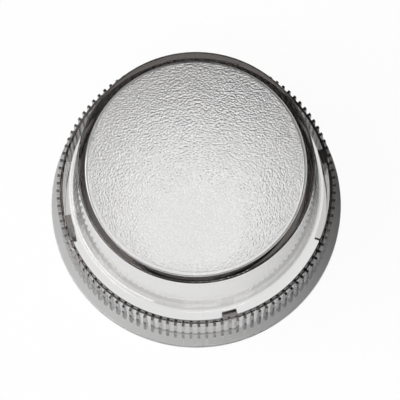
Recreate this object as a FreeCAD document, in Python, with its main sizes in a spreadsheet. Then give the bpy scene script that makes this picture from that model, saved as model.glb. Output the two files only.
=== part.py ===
import FreeCAD, Part
import Sketcher
import os

# Rear lens cap, one clear moulding.
# It stands on its open mouth, with the closed face up. The origin is the middle of
# the mouth's rim, +Z runs up the axis, and lengths are in millimetres.

SIZES = [
    ("total_height", 27.8, "mouth rim to the top of the drum"),
    ("flange_radius", 24.6, "outer edge of the foot flange"),
    ("flange_thickness", 1.6, "foot flange, up from the mouth rim"),
    ("flange_bevel", 0.2, "bevel of the flange's two outer edges"),
    ("rib_radius", 23.4, "crests of the grip ribs, at the flange"),
    ("rib_top_radius", 23.25, "crests of the grip ribs, at their tops"),
    ("groove_radius", 22.72, "floors of the grooves between the ribs"),
    ("groove_count", 111, "grooves round the skirt"),
    ("groove_floor_width", 0.80, "width of a groove at its floor"),
    ("groove_mouth_width", 0.86, "width of a groove between two crests"),
    ("groove_run_out", 0.5, "how far the groove's cut runs past the crests"),
    ("groove_angle", 0.36, "middle of the first groove, from +X"),
    ("band_height", 1.5, "plain band between the tops of the ribs and the shoulder"),
    ("band_foot_radius", 22.6, "plain band where it meets the ribs"),
    ("band_radius", 22.45, "plain band where it meets the shoulder"),
    ("bore_radius", 22.2, "bore of the skirt, which takes the lens's bayonet"),
    ("mouth_lead_in", 0.3, "bevel at the mouth of the bore"),
    ("shoulder_height", 13.0, "mouth rim to the flat shoulder"),
    ("shoulder_thickness", 1.35, "wall of the shoulder"),
    ("foot_radius", 20.75, "drum where it meets the shoulder"),
    ("foot_bevel", 0.35, "hollow bevel between the drum and the shoulder"),
    ("rim_radius", 19.2, "drum at its top"),
    ("rim_bevel", 0.25, "bevel of the drum's top edge"),
    ("drum_wall", 1.25, "wall of the drum, measured across"),
    ("cover_thickness", 1.4, "top of the rim to the inside of the cover"),
    ("inside_bevel", 0.45, "bevel inside, between the cover and the drum's wall"),
    ("throat_bevel", 0.35, "bevel where the drum's inside opens into the skirt"),
    ("face_radius", 17.4, "grained face inside the rim"),
    ("face_depth", 0.25, "how far the grained face lies below the rim"),
    ("claw_radius", 21.0, "inner edge of the bayonet claws"),
    ("claw_bottom", 1.5, "mouth rim to the underside of a claw"),
    ("claw_thickness", 1.7, "height of a claw"),
    ("claw_span", 29.0, "angle that one claw covers beside its stop"),
    ("claw_count", 4, "claws, and stops, round the bore"),
    ("stop_radius", 21.25, "inner face of the stop at a claw's end"),
    ("stop_span", 6.75, "angle that one stop covers"),
    ("stop_angle", 15.0, "middle of the first stop, from +X"),
    ("root_depth", 0.25, "how far claws and stops are rooted in the skirt's wall"),
]

SAME_PLACE = 1e-4
Y_WAY = FreeCAD.Vector(0, 1, 0)
Z_WAY = FreeCAD.Vector(0, 0, 1)

size = {name: value for name, value, meaning in SIZES}

doc = FreeCAD.newDocument("rear_lens_cap")

sheet = doc.addObject("Spreadsheet::Sheet", "dims")
for row, (name, value, meaning) in enumerate(SIZES, start=1):
    sheet.set(f"A{row}", meaning)
    sheet.set(f"B{row}", str(value))
    sheet.setAlias(f"B{row}", name)
doc.recompute()

body = doc.addObject("PartDesign::Body", "rear_cap")
body.Label = "rear_cap"


def origin_feature(role):
    """A plane or an axis of the body's own origin."""
    return next(item for item in body.Origin.OriginFeatures if item.Role == role)


def new_sketch(name, plane):
    """An empty sketch on one of the body's origin planes."""
    sketch = body.newObject("Sketcher::SketchObject", name)
    sketch.AttachmentSupport = [(origin_feature(plane), "")]
    sketch.MapMode = "FlatFace"
    return sketch


def pin(sketch, corner, direction, rule):
    """Holds one corner at a distance from the origin that the sheet gives."""
    if rule == "0":
        axis = -2 if direction == "DistanceX" else -1
        sketch.addConstraint(Sketcher.Constraint("PointOnObject", corner, 1, axis))
        return
    index = sketch.addConstraint(Sketcher.Constraint(direction, -1, 1, corner, 1, 1.0))
    sketch.setExpression(f"Constraints[{index}]", rule)


def draw_outline(sketch, corners):
    """A closed outline of straight sides. Each corner is two rules, across and up."""
    count = len(corners)
    start = [FreeCAD.Vector(1 + k % 2, 1 + k, 0) for k in range(count)]
    for k in range(count):
        sketch.addGeometry(Part.LineSegment(start[k], start[(k + 1) % count]))
    for k in range(count):
        sketch.addConstraint(Sketcher.Constraint("Coincident", k, 2, (k + 1) % count, 1))
    for k, (across, up) in enumerate(corners):
        pin(sketch, k, "DistanceX", across)
        pin(sketch, k, "DistanceY", up)


def fit_number(feature, prop, rule):
    """Ties one size of a feature to the sheet."""
    feature.setExpression(prop, rule)


def ring_edges(feature, radius, height):
    """The circular edges of a feature with this radius at this height."""
    names = []
    for number, edge in enumerate(feature.Shape.Edges, start=1):
        curve = edge.Curve
        if not isinstance(curve, Part.Circle):
            continue
        off_radius = abs(curve.Radius - radius)
        off_height = abs(curve.Center.z - height)
        if max(off_radius, off_height) < SAME_PLACE:
            names.append(f"Edge{number}")
    return names


def bevel_rings(name, rings, rule):
    """Bevels rings of the last feature, each given as a radius and a height."""
    base = body.Tip
    edges = [edge for radius, height in rings for edge in ring_edges(base, radius, height)]
    chamfer = body.newObject("PartDesign::Chamfer", name)
    chamfer.Base = (base, edges)
    fit_number(chamfer, "Size", rule)
    doc.recompute()


def turn_section(name, corners):
    """Turns an outline in the XZ plane once round the axis."""
    section = new_sketch(f"{name}_section", "XZ_Plane")
    draw_outline(section, corners)
    turned = body.newObject("PartDesign::Revolution", name)
    turned.Profile = section
    turned.ReferenceAxis = (section, ["V_Axis"])
    doc.recompute()


def turn_sector(name, corners, angle, span):
    """Turns an outline through part of a circle, both ways from its middle angle."""
    section = new_sketch(f"{name}_section", "XZ_Plane")
    section.AttachmentOffset = FreeCAD.Placement(FreeCAD.Vector(), FreeCAD.Rotation(Y_WAY, 1))
    fit_number(section, "AttachmentOffset.Rotation.Angle", angle)
    draw_outline(section, corners)
    sector = body.newObject("PartDesign::Revolution", name)
    sector.Profile = section
    sector.ReferenceAxis = (section, ["V_Axis"])
    sector.Midplane = True
    fit_number(sector, "Angle", span)
    doc.recompute()
    return sector


def repeat_round(name, features, count):
    """Repeats features evenly round the axis."""
    pattern = body.newObject("PartDesign::PolarPattern", name)
    pattern.Originals = features
    pattern.Axis = (origin_feature("Z_Axis"), [""])
    pattern.Angle = 360
    fit_number(pattern, "Occurrences", count)
    body.Tip = pattern
    doc.recompute()


# The whole wall in one section: flange, ribbed skirt, plain band above the ribs, shoulder,
# drum, rim and recessed face, and back down the inside at an even wall.
ceiling = "dims.total_height - dims.cover_thickness"
rib_top = "dims.shoulder_height - dims.band_height"
underside = "dims.shoulder_height - dims.shoulder_thickness"
turn_section("wall", [
    ("dims.bore_radius", "dims.mouth_lead_in"),
    ("dims.bore_radius + dims.mouth_lead_in", "0"),
    ("dims.flange_radius", "0"),
    ("dims.flange_radius", "dims.flange_thickness"),
    ("dims.rib_radius", "dims.flange_thickness"),
    ("dims.rib_top_radius", rib_top),
    ("dims.band_foot_radius", rib_top),
    ("dims.band_radius", "dims.shoulder_height"),
    ("dims.foot_radius", "dims.shoulder_height"),
    ("dims.rim_radius", "dims.total_height"),
    ("dims.face_radius", "dims.total_height"),
    ("dims.face_radius", "dims.total_height - dims.face_depth"),
    ("0", "dims.total_height - dims.face_depth"),
    ("0", ceiling),
    ("dims.rim_radius - dims.drum_wall", ceiling),
    ("dims.foot_radius - dims.drum_wall", underside),
    ("dims.bore_radius", underside),
])

ceiling_height = size["total_height"] - size["cover_thickness"]
underside_height = size["shoulder_height"] - size["shoulder_thickness"]
flange_rings = [(size["flange_radius"], 0), (size["flange_radius"], size["flange_thickness"])]
bevel_rings("flange_edges", flange_rings, "dims.flange_bevel")
bevel_rings("drum_foot", [(size["foot_radius"], size["shoulder_height"])], "dims.foot_bevel")
bevel_rings("drum_rim", [(size["rim_radius"], size["total_height"])], "dims.rim_bevel")
inside_ring = (size["rim_radius"] - size["drum_wall"], ceiling_height)
bevel_rings("inside_corner", [inside_ring], "dims.inside_bevel")
throat_ring = (size["foot_radius"] - size["drum_wall"], underside_height)
bevel_rings("throat_edge", [throat_ring], "dims.throat_bevel")

# The grip: one straight groove from the flange up past the tops of the ribs, then the
# same groove round the skirt. What stands between two grooves is a rib.
plan = new_sketch("groove_plan", "XY_Plane")
plan.AttachmentOffset = FreeCAD.Placement(FreeCAD.Vector(), FreeCAD.Rotation(Z_WAY, 1))
fit_number(plan, "AttachmentOffset.Base.z", "dims.flange_thickness")
fit_number(plan, "AttachmentOffset.Rotation.Angle", "dims.groove_angle")
floor_half = "dims.groove_floor_width / 2"
mouth_half = "dims.groove_mouth_width / 2"
run_out = "dims.rib_radius + dims.groove_run_out"
draw_outline(plan, [
    ("dims.groove_radius", f"-{floor_half}"),
    ("dims.rib_radius", f"-{mouth_half}"),
    (run_out, f"-{mouth_half}"),
    (run_out, mouth_half),
    ("dims.rib_radius", mouth_half),
    ("dims.groove_radius", floor_half),
])
groove = body.newObject("PartDesign::Pocket", "groove")
groove.Profile = plan
groove.Type = "ThroughAll"
groove.Reversed = True
doc.recompute()
repeat_round("grip", [groove], "dims.groove_count")

# The bayonet: a claw and, at its end, the stop that a lens's lug turns against.
claw_top = "dims.claw_bottom + dims.claw_thickness"
root = "dims.bore_radius + dims.root_depth"
stop = turn_sector("stop", [
    ("dims.stop_radius", "dims.claw_bottom"),
    (root, "dims.claw_bottom"),
    (root, "dims.shoulder_height - dims.shoulder_thickness + dims.root_depth"),
    ("dims.stop_radius", "dims.shoulder_height - dims.shoulder_thickness + dims.root_depth"),
], "dims.stop_angle", "dims.stop_span")
claw = turn_sector("claw", [
    ("dims.claw_radius", "dims.claw_bottom"),
    (root, "dims.claw_bottom"),
    (root, claw_top),
    ("dims.claw_radius", claw_top),
], "dims.stop_angle - (dims.claw_span + dims.stop_span) / 2", "dims.claw_span")
repeat_round("bayonet", [stop, claw], "dims.claw_count")

faults = [item.Name for item in doc.Objects if {"Invalid", "Error"} & set(item.State)]
if faults:
    raise RuntimeError(f"these features failed: {faults}")
shape = body.Shape
if shape.isNull() or not shape.isValid() or len(shape.Solids) != 1:
    raise RuntimeError("rear_cap is not one valid solid")

os.makedirs("parts", exist_ok=True)
shape.exportStep(f"parts/{body.Label}.step")
print(f"rear_cap: {shape.Volume:.1f} mm3, {len(shape.Faces)} faces, box {shape.BoundBox}")
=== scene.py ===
# %% [markdown]
# # A clear rear lens cap
#
# The object is one clear, faintly smoky moulding that covers the back of a camera lens.
# It stands on its open mouth, so its closed, grained face is up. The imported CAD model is
# loaded first as a fixed frame: it says how big the cap is and where it stands, and the
# clear moulding that is modelled below takes its place in the picture.

# %% Load the frame
import math

import bpy
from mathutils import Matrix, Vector


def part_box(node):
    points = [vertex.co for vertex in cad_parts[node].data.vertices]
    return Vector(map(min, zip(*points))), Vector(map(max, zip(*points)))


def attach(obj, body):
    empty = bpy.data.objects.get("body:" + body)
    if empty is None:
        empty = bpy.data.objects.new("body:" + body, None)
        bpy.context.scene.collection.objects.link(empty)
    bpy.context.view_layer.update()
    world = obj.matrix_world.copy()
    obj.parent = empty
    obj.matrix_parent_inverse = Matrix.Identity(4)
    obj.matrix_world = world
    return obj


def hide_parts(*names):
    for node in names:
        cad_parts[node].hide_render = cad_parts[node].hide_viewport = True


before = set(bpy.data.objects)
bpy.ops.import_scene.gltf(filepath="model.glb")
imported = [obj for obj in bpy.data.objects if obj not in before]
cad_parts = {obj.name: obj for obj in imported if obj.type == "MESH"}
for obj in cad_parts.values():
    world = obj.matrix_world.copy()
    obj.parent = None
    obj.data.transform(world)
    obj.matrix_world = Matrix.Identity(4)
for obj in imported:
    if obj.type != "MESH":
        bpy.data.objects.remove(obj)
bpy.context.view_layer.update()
MM = 0.001
low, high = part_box("rear_cap")
print("the cap measures", [round((b - a) / MM, 2) for a, b in zip(low, high)], "mm")

# %% [markdown]
# ## Sizes
#
# A clear part shows its inside as well as its outside, so the section matters all the way
# round: light bends where the wall changes. The overall height and width are read from the
# frame. The other sizes are written in millimetres, because that is how a moulding is
# drawn, and the constant MM turns them into Blender's metres.

# %% Sizes of the section
total_height = (high.z - low.z) / MM
flange_radius = (high.x - low.x) / 2 / MM
flange_thickness = 1.6
flange_edge = 0.15
rib_radius = 23.4
rib_top_radius = 23.25
band_height = 1.5
band_foot_radius = 22.6
band_radius = 22.45
bore_radius = 22.2
lead_in = 0.3
shoulder_height = 13.0
shoulder_wall = 1.35
underside = shoulder_height - shoulder_wall
foot_radius = 20.75
foot_round = 0.5
rim_radius = 19.2
rim_round = 0.35
drum_wall = 1.25
cover_wall = 1.4
ceiling = total_height - cover_wall
inside_round = 0.6
throat_round = 0.5
face_radius = 17.4
face_depth = 0.25
claw_bottom = 1.5
claw_top = 3.2
stop_radius = 21.25
last_radius = 0.02
print("heights inside:", round(underside, 2), "to the shoulder,", round(ceiling, 2), "to the face")

# %% [markdown]
# ## The section
#
# Every wall of the cap except the ribs is turned round one axis, so the shape starts as a
# section: a list of corners, each a radius and a height. A moulding has no knife-sharp
# corners, and a rounded corner bends light into the thin dark and bright rings that make
# clear plastic look real. The helper below replaces a corner by an arc. It also leaves a
# point just outside each end of the arc, which keeps the smooth shading of the rounding
# from spreading over the flat wall beside it. A few corners lie in the middle of a flat
# wall. They only give the claws and the stops a ring of points to end at.

# %% Round the corners of a section
ARC_STEPS = 7
HOLD = 0.05


def rounded(corners):
    """A section's points. Each corner is (radius, height) or (radius, height, rounding)."""
    points = []
    for k, corner in enumerate(corners):
        if len(corner) == 2:
            points.append(corner)
            continue
        here = Vector(corner[:2])
        to_last = (Vector(corners[k - 1][:2]) - here).normalized()
        to_next = (Vector(corners[k + 1][:2]) - here).normalized()
        half = to_last.angle(to_next) / 2
        reach = corner[2] / math.tan(half)
        middle = here + (to_last + to_next).normalized() * corner[2] / math.sin(half)
        start = here + to_last * reach - middle
        end = here + to_next * reach - middle
        swing = start.angle(end)
        points.append(tuple(here + to_last * (reach + HOLD)))
        for step in range(ARC_STEPS + 1):
            share = step / ARC_STEPS
            spoke = start * math.sin((1 - share) * swing) + end * math.sin(share * swing)
            points.append(tuple(middle + spoke / math.sin(swing)))
        points.append(tuple(here + to_next * (reach + HOLD)))
    return points


outside = rounded([
    (bore_radius + lead_in, 0),
    (flange_radius, 0, flange_edge),
    (flange_radius, flange_thickness, flange_edge),
    (rib_radius, flange_thickness),
    (rib_top_radius, shoulder_height - band_height),
    (band_foot_radius, shoulder_height - band_height),
    (band_radius, shoulder_height),
    (foot_radius, shoulder_height, foot_round),
    (rim_radius, total_height, rim_round),
    (face_radius, total_height),
    (face_radius, total_height - face_depth),
    (last_radius, total_height - face_depth),
])
inside = rounded([
    (bore_radius, claw_bottom),
    (bore_radius, claw_top),
    (bore_radius, underside),
    (stop_radius, underside),
    (foot_radius - drum_wall, underside, throat_round),
    (rim_radius - drum_wall, ceiling, inside_round),
    (last_radius, ceiling),
])
print("the section has", len(outside) + len(inside), "points")

# %% [markdown]
# ## Turn the moulding
#
# The wall could be a spun profile, but a ring that is extruded, scaled and lifted again and
# again gives the same turned shape and keeps one column of faces for each part of a rib.
# The start is a circle at the mouth of the bore. One chain of rings goes out and over the
# top to the middle of the face, and a second chain goes up the inside to the ceiling.

# %% Extrude the rings
COLUMNS_PER_RIB = 6
rib_count = 111
columns = rib_count * COLUMNS_PER_RIB
mouth = (bore_radius, lead_in)


def start_alone():
    """Deselects everything, because an operator acts on all that is selected."""
    if bpy.context.object and bpy.context.object.mode != "OBJECT":
        bpy.ops.object.mode_set(mode="OBJECT")
    bpy.ops.object.select_all(action="DESELECT")


def pull_rings(ring, points):
    """Extrudes the selected ring through the section's points, then closes the last one."""
    for radius, height in points:
        bpy.ops.mesh.extrude_edges_move()
        share = radius / ring[0]
        bpy.ops.transform.resize(value=(share, share, 1), center_override=(0, 0, 0))
        bpy.ops.transform.translate(value=(0, 0, (height - ring[1]) * MM))
        ring = (radius, height)
    bpy.ops.mesh.merge(type="CENTER")


# A new circle's first point lies on +Y. The turn brings it to +X, where the first column is.
start_alone()
bpy.ops.mesh.primitive_circle_add(vertices=columns, radius=mouth[0] * MM,
                                  location=(0, 0, mouth[1] * MM), rotation=(0, 0, -math.pi / 2))
cap = bpy.context.object
cap.name = "clear_rear_cap"
bpy.ops.object.transform_apply(location=True, rotation=True, scale=True)
bpy.ops.object.mode_set(mode="EDIT")
bpy.ops.mesh.select_all(action="SELECT")
pull_rings(mouth, outside)
bpy.ops.mesh.select_all(action="DESELECT")
bpy.ops.object.mode_set(mode="OBJECT")
for vertex in cap.data.vertices[:columns]:
    vertex.select = True
bpy.ops.object.mode_set(mode="EDIT")
pull_rings(mouth, inside)
bpy.ops.object.mode_set(mode="OBJECT")
print("the turned moulding has", len(cap.data.polygons), "faces")

# %% [markdown]
# ## The ribs
#
# The grip is a row of straight grooves that end at a plain band below the shoulder. Each
# rib owns six columns of faces: two for the groove's floor, one for each flank and two for
# the crest. The columns are first turned a little so that the flanks stand steep, and then
# the floors are scaled towards the axis. Scaling about the axis moves all the grooves at
# once, as a cutter would on a dividing head.

# %% Pick and turn points
SLACK = 0.01


def edit_cap(kind):
    """Opens the cap for work on its points or its faces, with nothing selected."""
    start_alone()
    cap.select_set(True)
    bpy.context.view_layer.objects.active = cap
    bpy.ops.object.mode_set(mode="EDIT")
    bpy.ops.mesh.select_mode(type=kind)
    bpy.ops.mesh.select_all(action="DESELECT")


def pick(test):
    """Selects the points that pass a test, and says how many they are."""
    edit_cap("VERT")
    bpy.ops.object.mode_set(mode="OBJECT")
    count = 0
    for vertex in cap.data.vertices:
        vertex.select = test(vertex)
        count += vertex.select
    bpy.ops.object.mode_set(mode="EDIT")
    return count


def turn_by(angle):
    """Turns what is selected about the axis, anticlockwise from above."""
    bpy.ops.transform.rotate(value=-angle, orient_axis="Z", center_override=(0, 0, 0))


def radius_of(vertex):
    return math.hypot(vertex.co.x, vertex.co.y) / MM


# %% Cut the grooves
NEAR_AXIS = 0.1
FLOOR_COLUMNS = (0, 1, 5)
groove_radius = 22.72
groove_floor = 0.80
groove_mouth = 0.86
groove_angle = math.radians(0.36)
pitch = math.tau / rib_count
column = math.tau / columns


def column_of(vertex):
    """Which of a rib's columns a point stands in. Column 0 is the middle of a groove."""
    return round(math.atan2(vertex.co.y, vertex.co.x) / column) % COLUMNS_PER_RIB


floor_edge = groove_floor / 2 / groove_radius
mouth_edge = groove_mouth / 2 / rib_radius
targets = {1: floor_edge, 2: mouth_edge, 4: pitch - mouth_edge, 5: pitch - floor_edge}
marks = {vertex.index: column_of(vertex) for vertex in cap.data.vertices}
for number, target in targets.items():
    pick(lambda vertex: marks[vertex.index] == number and radius_of(vertex) > NEAR_AXIS)
    turn_by(target - number * column)
for ring_radius in (rib_radius, rib_top_radius):
    found = pick(lambda vertex: marks[vertex.index] in FLOOR_COLUMNS
                 and abs(radius_of(vertex) - ring_radius) < SLACK)
    share = groove_radius / ring_radius
    bpy.ops.transform.resize(value=(share, share, 1), center_override=(0, 0, 0))
bpy.ops.mesh.select_all(action="SELECT")
turn_by(groove_angle)
bpy.ops.object.mode_set(mode="OBJECT")
print("groove floors:", found // len(FLOOR_COLUMNS))

# %% [markdown]
# ## The bayonet
#
# Four claws stand inside the mouth. A lens's lugs pass between them and turn behind them,
# until they meet a stop. Claws and stops belong to the same moulding, so they are pulled
# out of the bore's own wall: the faces are picked by their place, extruded and scaled
# towards the axis. Claw and stop are pulled out together as far as the stop, and then the
# claws alone go the rest of the way, so that no face is left inside the plastic.

# %% Pick faces round the bore
STRAIGHT = 0.99
claw_count = 4
stop_angle = math.radians(15.0)


def pick_faces(level, test):
    """Selects the level faces, or else the upright ones that look at the axis, whose radius,
    angle past a stop and height pass a test, and says how many they are."""
    edit_cap("FACE")
    bpy.ops.object.mode_set(mode="OBJECT")
    count = 0
    for face in cap.data.polygons:
        if level:
            wanted = abs(face.normal.z) > STRAIGHT
        else:
            inward = face.normal.x * face.center.x + face.normal.y * face.center.y < 0
            wanted = inward and math.hypot(face.normal.x, face.normal.y) > STRAIGHT
        radius = math.hypot(face.center.x, face.center.y) / MM
        angle = (math.atan2(face.center.y, face.center.x) - stop_angle) % (math.tau / claw_count)
        if angle > math.pi / claw_count:
            angle -= math.tau / claw_count
        face.select = wanted and test(radius, angle, face.center.z / MM)
        count += face.select
    bpy.ops.object.mode_set(mode="EDIT")
    return count


def turn_faces_out():
    """Makes every face of the cap look away from the plastic."""
    edit_cap("FACE")
    bpy.ops.mesh.select_all(action="SELECT")
    bpy.ops.mesh.normals_make_consistent(inside=False)
    bpy.ops.object.mode_set(mode="OBJECT")


# %% Pull out claws and stops
WALL_SLACK = 0.05
claw_radius = 21.0
claw_span = math.radians(29.0)
stop_span = math.radians(6.75)


def pull_inward(share):
    """Extrudes the selected faces and scales them towards the axis."""
    bpy.ops.mesh.extrude_region_move()
    bpy.ops.transform.resize(value=(share, share, 1), center_override=(0, 0, 0))
    bpy.ops.object.mode_set(mode="OBJECT")


def at_claw(angle, height):
    beside_stop = -claw_span - stop_span / 2 < angle < -stop_span / 2
    return beside_stop and claw_bottom < height < claw_top


def at_stop(angle, height):
    return abs(angle) < stop_span / 2 and claw_bottom < height < underside


turn_faces_out()
pick_faces(False, lambda radius, angle, height: abs(radius - bore_radius) < WALL_SLACK
           and (at_claw(angle, height) or at_stop(angle, height)))
pull_inward(stop_radius / bore_radius)
found = pick_faces(False, lambda radius, angle, height: abs(radius - stop_radius) < WALL_SLACK
                   and at_claw(angle, height))
pull_inward(claw_radius / stop_radius)
print("claw faces:", found)

# %% [markdown]
# The top of each stop now lies flat against the underside of the shoulder. In a clear part
# such a double wall would show as a black patch, so both faces are deleted and the seam is
# closed. Claw, stop and shoulder are then one body of plastic, as they are in the moulding.

# %% Join the stops to the shoulder
SEAM = 0.001


def on_ring(vertex, radius, height):
    return abs(radius_of(vertex) - radius) < SLACK and abs(vertex.co.z / MM - height) < SLACK


found = pick_faces(True, lambda radius, angle, height: abs(height - underside) < SLACK
                   and stop_radius < radius < bore_radius and abs(angle) < stop_span / 2)
bpy.ops.mesh.delete(type="FACE")
pick(lambda vertex: on_ring(vertex, stop_radius, underside))
bpy.ops.mesh.remove_doubles(threshold=SEAM * MM)
bpy.ops.mesh.select_all(action="DESELECT")
bpy.ops.mesh.select_non_manifold()
bpy.ops.object.mode_set(mode="OBJECT")
print("faces deleted:", found, "open edges:", sum(edge.select for edge in cap.data.edges))

# %% [markdown]
# A rounding is made of small steps, and shading it smooth hides them. The corners of the
# ribs and the claws have to stay crisp, so only edges that bend by a small angle are smoothed.

# %% Shade the moulding smooth
SHARP = math.radians(28)
turn_faces_out()
bpy.ops.object.shade_smooth_by_angle(angle=SHARP)
print("triangles:", sum(len(face.vertices) - 2 for face in cap.data.polygons))

# %% [markdown]
# ## Clear smoky plastic
#
# Clear plastic is a surface that bends light and a body that swallows a little of it. Thin
# walls stay pale, and a wall that is seen end-on goes dark, because the light travels down
# its whole length. So the surface is a transmitting one with hardly any roughness, and the
# smoke is an absorption in the volume, which darkens with the length of the way.
# The closed face has a fine grain. A noise raises it as a bump, and the same noise darkens its
# hollows a little in the base colour as painted shade, evenly over the face. A mask keeps both to
# the recessed face.

# %% Write shader maths as expressions
class Socket:
    """Wraps an output socket, so that sums, products and comparisons add Math nodes."""

    def __init__(self, tree, link):
        self.tree = tree
        self.link = link

    def maths(self, operation, first, second):
        node = self.tree.nodes.new("ShaderNodeMath")
        node.operation = operation
        for slot, value in zip(node.inputs, (first, second)):
            if isinstance(value, Socket):
                self.tree.links.new(value.link, slot)
            else:
                slot.default_value = value
        return Socket(self.tree, node.outputs[0])

    def __add__(self, other):
        return self.maths("ADD", self, other)

    def __mul__(self, other):
        return self.maths("MULTIPLY", self, other)

    def __sub__(self, other):
        return self.maths("SUBTRACT", self, other)

    def __rsub__(self, other):
        return self.maths("SUBTRACT", other, self)

    def __gt__(self, other):
        return self.maths("GREATER_THAN", self, other)

    def __lt__(self, other):
        return self.maths("LESS_THAN", self, other)

    def larger(self, other):
        return self.maths("MAXIMUM", self, other)


class Finish:
    """One material, and one method that adds any other kind of node to it."""

    def __init__(self, name):
        self.material = bpy.data.materials.new(name)
        self.material.use_nodes = True
        self.tree = self.material.node_tree
        self.tree.nodes.clear()
        self.out = self.tree.nodes.new("ShaderNodeOutputMaterial")

    def node(self, kind, **sockets):
        """A node of a kind, with its sockets' values or links."""
        made = self.tree.nodes.new(kind)
        for name, value in sockets.items():
            slot = made.inputs[name.replace("_", " ")]
            if isinstance(value, Socket):
                self.tree.links.new(value.link, slot)
            else:
                slot.default_value = value
        return made

    def read(self, made, output):
        return Socket(self.tree, made.outputs[output])

    def place(self):
        """The point on the object, whole and as its X, Y and Z."""
        whole = self.read(self.node("ShaderNodeTexCoord"), "Object")
        parts = self.node("ShaderNodeSeparateXYZ", Vector=whole)
        return whole, self.read(parts, "X"), self.read(parts, "Y"), self.read(parts, "Z")

    def blend(self, share, first, second):
        """A Mix Shader of two shaders, with the second one's share."""
        made = self.node("ShaderNodeMixShader", Fac=share)
        self.tree.links.new(first.outputs[0], made.inputs[1])
        self.tree.links.new(second.outputs[0], made.inputs[2])
        return made

    def surface(self, made):
        self.tree.links.new(made.outputs[0], self.out.inputs["Surface"])

    def volume(self, made):
        self.tree.links.new(made.outputs[0], self.out.inputs["Volume"])


# %% Make the clear plastic
ROUGHNESS = 0.02
BENDING = 1.5
SMOKE_COLOUR = (0.06, 0.02, 0.0, 1)
SMOKE_PER_METRE = 130.0
MASK_INSET = 0.05
MASK_DROP = 0.1
GRAIN_CELL = 0.3
GRAIN_DETAIL = 1.0
GRAIN_HEIGHT = 0.55
# The painted shade in the grain's hollows: where it starts, where it is full, and how deep it
# goes.
HOLLOW_SHADE_NONE = 0.65
HOLLOW_SHADE_FULL = 0.35
HOLLOW_SHADE_DEPTH = 0.12


def clear_smoke_plastic():
    finish = Finish("clear_smoke_plastic")
    place, across, along, up = finish.place()
    on_face = across * across + along * along < ((face_radius - MASK_INSET) * MM) ** 2
    at_top = up > (total_height - face_depth - MASK_DROP) * MM
    grain = finish.node("ShaderNodeTexNoise", Vector=place, Scale=1 / (GRAIN_CELL * MM),
                        Detail=GRAIN_DETAIL)
    height = finish.read(grain, "Fac")
    # Painted shade: the low points of the grain are darkened a little in the base colour, evenly
    # over the face.
    painted_hollow_shade = finish.node("ShaderNodeMapRange", Value=height, From_Min=HOLLOW_SHADE_NONE,
                        From_Max=HOLLOW_SHADE_FULL)
    painted_shade_colour = 1 - finish.read(painted_hollow_shade, "Result") * HOLLOW_SHADE_DEPTH * on_face * at_top
    bump = finish.node("ShaderNodeBump", Strength=1.0, Distance=GRAIN_HEIGHT * MM,
                       Height=height * on_face * at_top)
    plastic = finish.node("ShaderNodeBsdfPrincipled", Base_Color=painted_shade_colour, Roughness=ROUGHNESS,
                          IOR=BENDING, Transmission_Weight=1.0,
                          Normal=finish.read(bump, "Normal"))
    smoke = finish.node("ShaderNodeVolumeAbsorption", Color=SMOKE_COLOUR,
                        Density=SMOKE_PER_METRE)
    finish.surface(plastic)
    finish.volume(smoke)
    return finish.material


cap.data.materials.clear()
cap.data.materials.append(clear_smoke_plastic())
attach(cap, "root")
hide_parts("rear_cap")
print("the plastic has", len(cap.active_material.node_tree.nodes), "nodes")

# %% [markdown]
# ## Floor
#
# The photograph shows the cap on pure white. The floor is a pale sheet. Where the camera sees it
# directly, it is lifted most of the way to white, and the rest keeps the cap's own soft shadow. A
# clear cap also shows the floor through its walls, and there the floor carries painted light and
# shade: a painted pool of white light inside the mouth, a painted shadow under the flange that
# deepens to the right and to the back, and nearly white again far out at both sides, all over a
# near-black sheet of painted shade. These tones are fitted to the photograph's view. They are part
# of the stage and not of the cap.

# %% Lay the floor
FLOOR_WIDTH = 0.9
FLOOR_DROP = 0.03
SHEET = (0.9, 0.9, 0.9, 1)
SHADE = (0.05, 0.05, 0.05, 1)
WHITE = (1, 1, 1, 1)
DIRECT_LIFT = 0.95
THROUGH_LIFT = 0.96
THROUGH_SHADE = 0.95
MIDDLE_TONE = 0.38
FALL_TO_RIGHT = 0.25
FALL_TO_BACK = 0.18
FALL_REACH = 23.0
LEAST_TONE = 0.05
FAR_TONE = 0.95
FAR_FROM = 25.0
FAR_TO = 31.0


def white_floor():
    finish = Finish("white_floor")
    path = finish.node("ShaderNodeLightPath")
    seen = finish.read(path, "Is Camera Ray")
    through = finish.read(path, "Is Transmission Ray")
    _, across, along, _ = finish.place()
    inside_mouth = across * across + along * along < (bore_radius * MM) ** 2
    to_right = across * (FALL_TO_RIGHT / (FALL_REACH * MM))
    to_back = along * (FALL_TO_BACK / (FALL_REACH * MM))
    # Painted shadow: a grey under the flange that deepens to the right and to the back.
    near = (MIDDLE_TONE - to_right - to_back).larger(LEAST_TONE)
    distance = finish.node("ShaderNodeMapRange", Value=across * across,
                           From_Min=(FAR_FROM * MM) ** 2, From_Max=(FAR_TO * MM) ** 2)
    far = finish.read(distance, "Result")
    falloff = near * (1 - far) + far * FAR_TONE
    # Painted light and shadow for rays through the plastic: full white inside the mouth, the
    # painted shadow and its falloff outside it.
    painted_light_and_shadow = inside_mouth + (1 - inside_mouth) * falloff
    sheet = finish.node("ShaderNodeBsdfDiffuse", Color=SHEET)
    shade = finish.node("ShaderNodeBsdfDiffuse", Color=SHADE)
    glow = finish.node("ShaderNodeEmission", Color=WHITE, Strength=1.0)
    # Rays through the plastic see a near-black sheet as painted shade, under the painted light of
    # the glow.
    plain = finish.blend(through * THROUGH_SHADE, sheet, shade)
    finish.surface(finish.blend(seen * DIRECT_LIFT + through * painted_light_and_shadow * THROUGH_LIFT, plain, glow))
    return finish.material


start_alone()
bpy.ops.mesh.primitive_plane_add(size=FLOOR_WIDTH, location=(0, 0, -FLOOR_DROP * MM))
floor = bpy.context.object
floor.name = "floor"
floor.data.materials.append(white_floor())
print("the floor is", FLOOR_WIDTH, "m wide")

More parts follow.
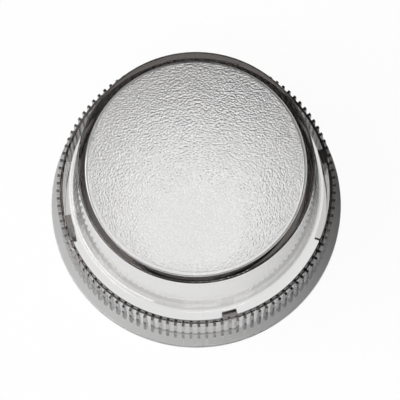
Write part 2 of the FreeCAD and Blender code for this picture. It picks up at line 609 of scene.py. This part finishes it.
# %% [markdown]
# ## Light
#
# The walls of the cap are brightest at the left in the photograph, so a large softbox
# hangs there. A small one in front lifts the near side. The level faces of the cap mirror
# what is above and behind them to the camera, and a lamp there would burn them white, so
# neither lamp hangs there. The world adds a faint, even grey.

# %% Hang the lamps
AIM = Vector((0, 0, 0.01))
WORLD_GREY = (0.03, 0.03, 0.03, 1)


def softbox(name, place, size, watts):
    """A square lamp that faces the cap."""
    start_alone()
    bpy.ops.object.light_add(type="AREA", location=place)
    lamp = bpy.context.object
    lamp.name = name
    lamp.data.size = size
    lamp.data.energy = watts
    lamp.rotation_euler = (AIM - Vector(place)).to_track_quat("-Z", "Y").to_euler()
    print(name, "gives", watts, "watts")


softbox("left_softbox", place=(-0.55, -0.12, 0.40), size=0.9, watts=9.0)
softbox("front_softbox", place=(0.1, -0.35, 0.75), size=0.3, watts=1.5)
world = bpy.data.worlds.new("studio")
bpy.context.scene.world = world
world.use_nodes = True
world.node_tree.nodes["Background"].inputs["Color"].default_value = WORLD_GREY

# %% [markdown]
# ## Camera
#
# The photograph looks down steeply, from the front. The rings of the cap are ellipses in
# it, and their shapes and places together give the camera's height, distance and focal
# length. The camera is placed from the same few numbers.

# %% Place the camera
PICTURE = 400
FOCAL_PIXELS = 2800
SENSOR_WIDTH = 36.0
CLIP_START = 0.01
camera_height_angle = math.radians(76.72)
camera_distance = 450.4
rim_in_picture = (195.95, 166.29)
sideways = Vector((1, 0, 0))
upward = Vector((0, math.sin(camera_height_angle), math.cos(camera_height_angle)))
forward = Vector((0, math.cos(camera_height_angle), -math.sin(camera_height_angle)))
shift_x, shift_y = [(pixel - PICTURE / 2) / FOCAL_PIXELS * camera_distance
                    for pixel in rim_in_picture]
rim_centre = Vector((0, 0, total_height))
place = rim_centre - sideways * shift_x + upward * shift_y - forward * camera_distance
bpy.ops.object.camera_add(location=place * MM,
                          rotation=forward.to_track_quat("-Z", "Y").to_euler())
camera = bpy.context.object
camera.data.sensor_width = SENSOR_WIDTH
camera.data.lens = FOCAL_PIXELS * SENSOR_WIDTH / PICTURE
camera.data.clip_start = CLIP_START
bpy.context.scene.camera = camera
bpy.context.scene.view_settings.view_transform = "Standard"
print("camera at", [round(v, 1) for v in place], "mm")
